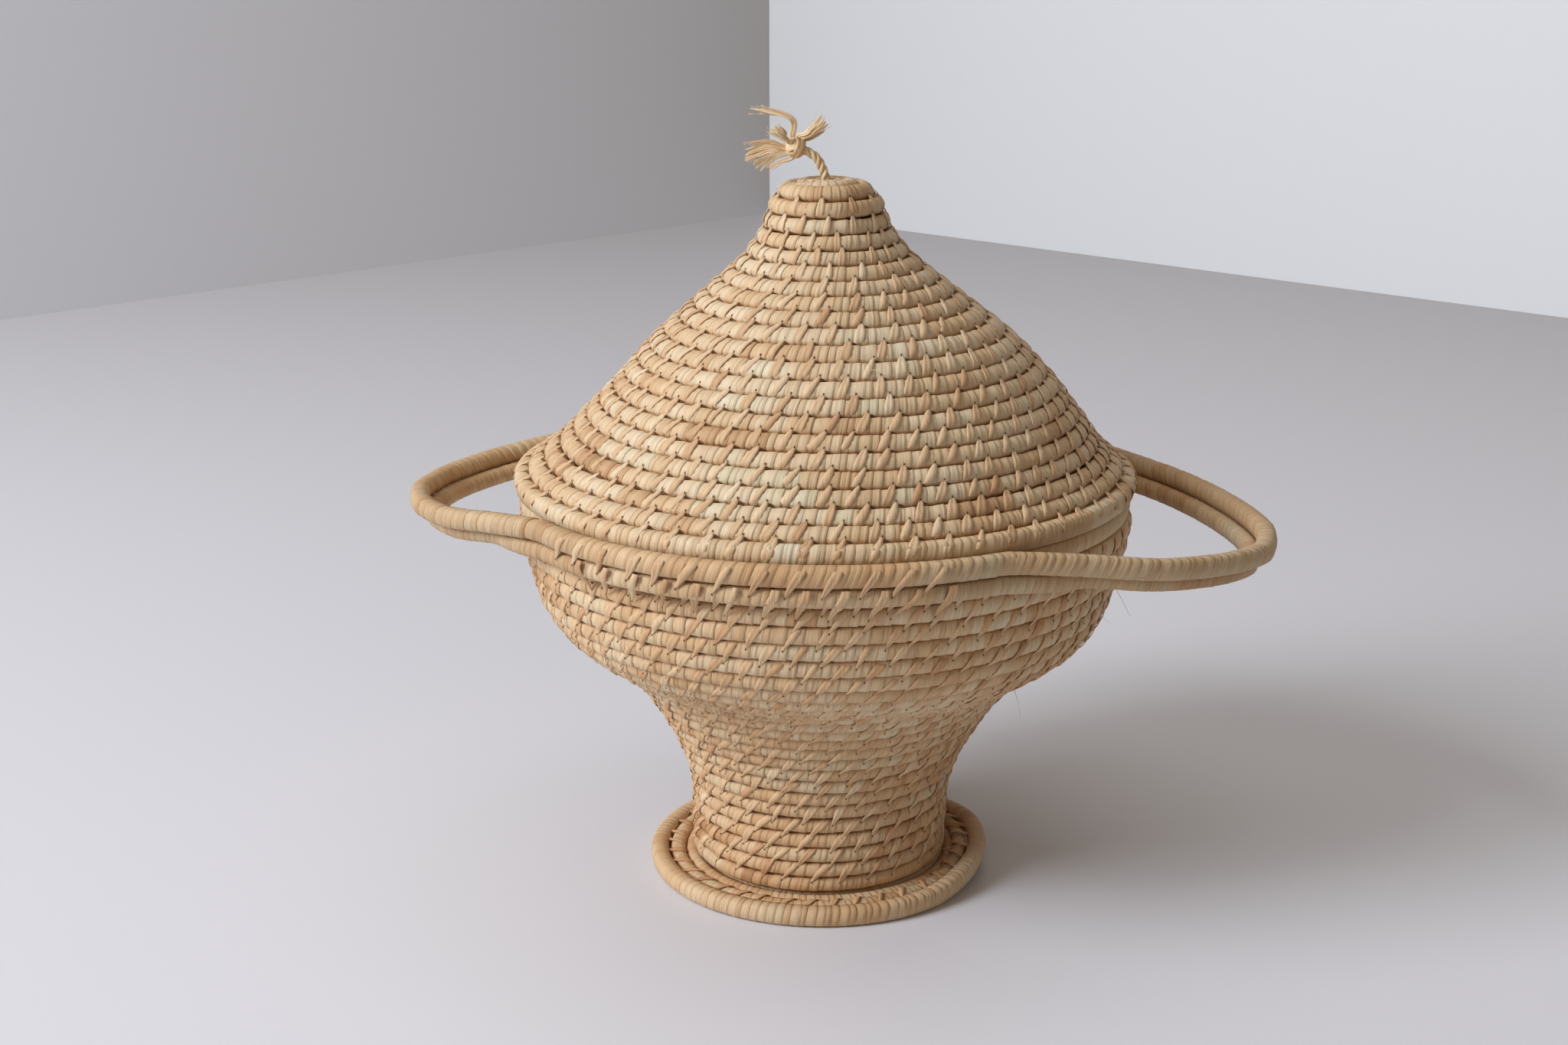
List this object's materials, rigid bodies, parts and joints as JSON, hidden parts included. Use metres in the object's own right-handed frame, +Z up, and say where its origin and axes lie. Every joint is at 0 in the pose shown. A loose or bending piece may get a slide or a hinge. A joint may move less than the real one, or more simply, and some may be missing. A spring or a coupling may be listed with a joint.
{
  "type": "lidded coiled basket",
  "caption": "Coiled grass basket shaped like a tagine pot: bowl on a hollow pedestal with loop handles, and a lift-off bell lid with a braided topknot.",
  "frame": {"origin": "on the table, under the middle of the foot plate", "axes": "+Z up the basket's own axis, +X along the line of the two handles, front towards -Y"},
  "size_m": [0.4244, 0.313, 0.3758],
  "materials": {
    "foot_straw": "matte wrapped straw",
    "pedestal_straw": "matte wrapped straw",
    "bowl_straw": "matte wrapped straw",
    "seat_straw": "matte wrapped straw",
    "rim_straw": "matte wrapped straw",
    "handle_straw": "matte wrapped straw",
    "lid_edge_straw": "matte wrapped straw",
    "lid_straw": "matte wrapped straw",
    "crown_straw": "matte wrapped straw",
    "braid_straw": "matte wrapped straw",
    "tassel_straw": "matte wrapped straw"
  },
  "bodies": {
    "basket": {"foot_plate": "foot_straw", "foot_plate_edge_coil": "foot_straw", "pedestal_wall": "pedestal_straw", "bowl_floor": "bowl_straw", "bowl_wall": "bowl_straw", "bowl_seat_row": "seat_straw", "rim_coil_front": "rim_straw", "rim_coil_back": "rim_straw", "under_rim_coil_front": "rim_straw", "under_rim_coil_back": "rim_straw", "handle_right_upper_coil": "handle_straw", "handle_right_lower_coil": "handle_straw", "handle_left_upper_coil": "handle_straw", "handle_left_lower_coil": "handle_straw"},
    "lid": {"lid_edge_coil": "lid_edge_straw", "lid_wall": "lid_straw", "lid_crown": "crown_straw", "braid_in_crown": "braid_straw", "stopper_knot": "braid_straw"},
    "topknot": {"topknot_braid": "braid_straw", "topknot_knot": "braid_straw", "tassel_strip_hanging": "tassel_straw", "tassel_strip_left": "tassel_straw", "tassel_strip_long": "tassel_straw", "tassel_strip_lower_back": "tassel_straw", "tassel_strip_lower_front": "tassel_straw", "tassel_strip_right": "tassel_straw", "tassel_strip_top": "tassel_straw", "tassel_strip_upper_back": "tassel_straw", "tassel_strip_upper_front": "tassel_straw"}
  },
  "joints": [
    {"name": "lid_lift", "type": "slide", "parent": "basket", "child": "lid", "axis": [0, 0, 1], "range_m": [0, 0.25]},
    {"name": "topknot_flop", "type": "hinge", "parent": "lid", "child": "topknot", "pos_m": [0, 0, 0.34193], "axis": [-0.2419, 0.9703, 0], "range_deg": [-20, 65]}
  ]
}
